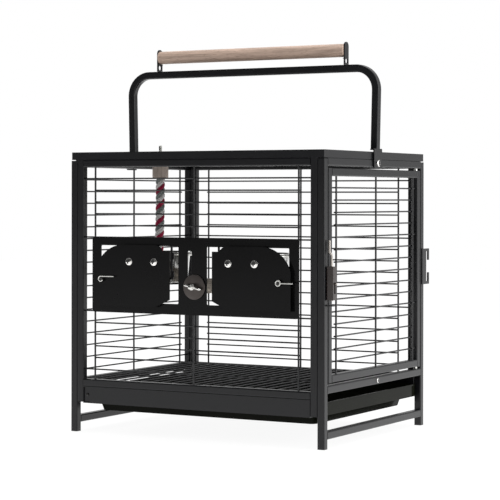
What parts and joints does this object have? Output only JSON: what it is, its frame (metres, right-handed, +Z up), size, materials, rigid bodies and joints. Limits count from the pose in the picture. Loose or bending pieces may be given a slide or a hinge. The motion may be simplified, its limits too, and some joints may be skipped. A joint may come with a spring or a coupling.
{
  "type": "bird carrier cage",
  "caption": "Black steel travel cage for a bird with wire sides, swing-out feeder doors, a side door, a perch, a rope toy, a slide-out tray and a wooden carrying handle.",
  "frame": {"origin": "on the floor under the middle of the whole object's box", "axes": "+Z up, +X towards the side with the door, -Y towards the front with the feeder doors"},
  "size_m": [0.4774, 0.3892, 0.6205],
  "materials": {
    "black_powder_coat": "semi-matte black powder coat",
    "black_wire": "semi-matte black powder coat on welded wire",
    "black_gloss_sheet": "glossy black enamel on sheet steel",
    "zinc": "bright zinc plate",
    "chrome_screw": "nickel plated",
    "stainless_cup": "polished stainless steel",
    "grip_wood": "turned wood, clear matt finish",
    "perch_wood": "raw turned wood",
    "rope_cotton": "three-colour twisted cotton",
    "tray_plastic": "glossy moulded plastic",
    "cap_plastic": "moulded plastic"
  },
  "bodies": {
    "cage": {"post_front_left": "black_powder_coat", "post_front_right": "black_powder_coat", "post_back_left": "black_powder_coat", "post_back_right": "black_powder_coat", "side_rail_top_left": "black_powder_coat", "side_rail_middle_left": "black_powder_coat", "side_rail_lower_left": "black_powder_coat", "side_rail_top_right": "black_powder_coat", "side_rail_middle_right": "black_powder_coat", "side_rail_lower_right": "black_powder_coat", "front_frame_stile_left": "black_powder_coat", "front_frame_stile_right": "black_powder_coat", "front_frame_top_rail": "black_powder_coat", "front_frame_bottom_rail": "black_powder_coat", "back_frame": "black_powder_coat", "lid": "black_powder_coat", "front_tray_cover": "black_powder_coat", "back_tray_cover": "black_powder_coat", "belt_brackets": "black_powder_coat", "feeder_hinge_rods": "black_powder_coat", "tray_cover_screw": "black_powder_coat", "side_latch_keeper": "black_powder_coat", "left_grille": "black_wire", "back_grille": "black_wire", "front_grille_upper": "black_wire", "front_grille_lower": "black_wire", "feeder_plate": "black_gloss_sheet", "toy_bolt": "zinc", "toy_nut": "zinc", "handle_screws": "chrome_screw", "side_rail_screw": "chrome_screw", "toy_block": "perch_wood", "toy_rope": "rope_cotton", "toy_knot": "rope_cotton", "foot_caps": "cap_plastic"},
    "side_door": {"side_door_frame": "black_powder_coat", "side_door_grille": "black_wire", "side_door_hinge_pins": "zinc", "side_latch_box": "zinc"},
    "side_latch_bolt": {"side_latch_bolt": "zinc"},
    "feeder_door_left": {"feeder_door_left": "black_gloss_sheet", "cup_ring_left": "zinc", "feeder_screws_left": "chrome_screw"},
    "feeder_door_right": {"feeder_door_right": "black_gloss_sheet", "cup_ring_right": "zinc", "feeder_screws_right": "chrome_screw"},
    "feeder_cup_left": {"feeder_cup_left": "stainless_cup"},
    "feeder_cup_right": {"feeder_cup_right": "stainless_cup"},
    "feeder_latch_left": {"feeder_latch_left": "zinc"},
    "feeder_latch_right": {"feeder_latch_right": "zinc"},
    "perch": {"perch": "perch_wood", "perch_bolt": "zinc", "perch_washer": "chrome_screw"},
    "wing_nut": {"wing_nut": "chrome_screw"},
    "handle": {"handle_tube": "black_powder_coat", "handle_tabs": "black_powder_coat", "handle_grip": "grip_wood", "grip_tabs": "black_powder_coat"},
    "droppings_tray": {"droppings_tray": "tray_plastic"},
    "floor_grate": {"floor_grate": "black_wire"}
  },
  "joints": [
    {"name": "side_door_hinge", "type": "hinge", "parent": "cage", "child": "side_door", "pos_m": [0.21737, 0.1581, 0.258], "axis": [0, 0, 1], "range_deg": [0, 110]},
    {"name": "side_latch_slide", "type": "slide", "parent": "side_door", "child": "side_latch_bolt", "axis": [0, 0, 1], "range_m": [-0.012, 0]},
    {"name": "feeder_door_left_hinge", "type": "hinge", "parent": "cage", "child": "feeder_door_left", "pos_m": [-0.04783, -0.1711, 0.27], "axis": [0, 0, 1], "range_deg": [0, 100]},
    {"name": "feeder_door_right_hinge", "type": "hinge", "parent": "cage", "child": "feeder_door_right", "pos_m": [0.03757, -0.1711, 0.27], "axis": [0, 0, -1], "range_deg": [0, 100]},
    {"name": "feeder_latch_left_turn", "type": "hinge", "parent": "feeder_door_left", "child": "feeder_latch_left", "pos_m": [-0.16863, -0.1838, 0.246], "axis": [0, 1, 0], "range_deg": [0, 90]},
    {"name": "feeder_latch_right_turn", "type": "hinge", "parent": "feeder_door_right", "child": "feeder_latch_right", "pos_m": [0.15087, -0.1838, 0.246], "axis": [0, -1, 0], "range_deg": [0, 90]},
    {"name": "feeder_cup_left_lift", "type": "slide", "parent": "feeder_door_left", "child": "feeder_cup_left", "axis": [0, 0, 1], "range_m": [0, 0.06]},
    {"name": "feeder_cup_right_lift", "type": "slide", "parent": "feeder_door_right", "child": "feeder_cup_right", "axis": [0, 0, 1], "range_m": [0, 0.06]},
    {"name": "perch_slide", "type": "slide", "parent": "cage", "child": "perch", "axis": [1, 0, 0], "range_m": [-0.0091, 0]},
    {"name": "wing_nut_turn", "type": "hinge", "parent": "perch", "child": "wing_nut", "pos_m": [-0.00193, -0.1879, 0.2362], "axis": [0, 1, 0], "continuous": true},
    {"name": "handle_pivot", "type": "hinge", "parent": "cage", "child": "handle", "pos_m": [-0.00513, 0.0001, 0.428], "axis": [1, 0, 0], "range_deg": [-14, 14]},
    {"name": "tray_slide", "type": "slide", "parent": "cage", "child": "droppings_tray", "axis": [1, 0, 0], "range_m": [-0.005, 0.345]},
    {"name": "floor_grate_lift", "type": "slide", "parent": "cage", "child": "floor_grate", "axis": [0, 0, 1], "range_m": [0, 0.06]}
  ]
}
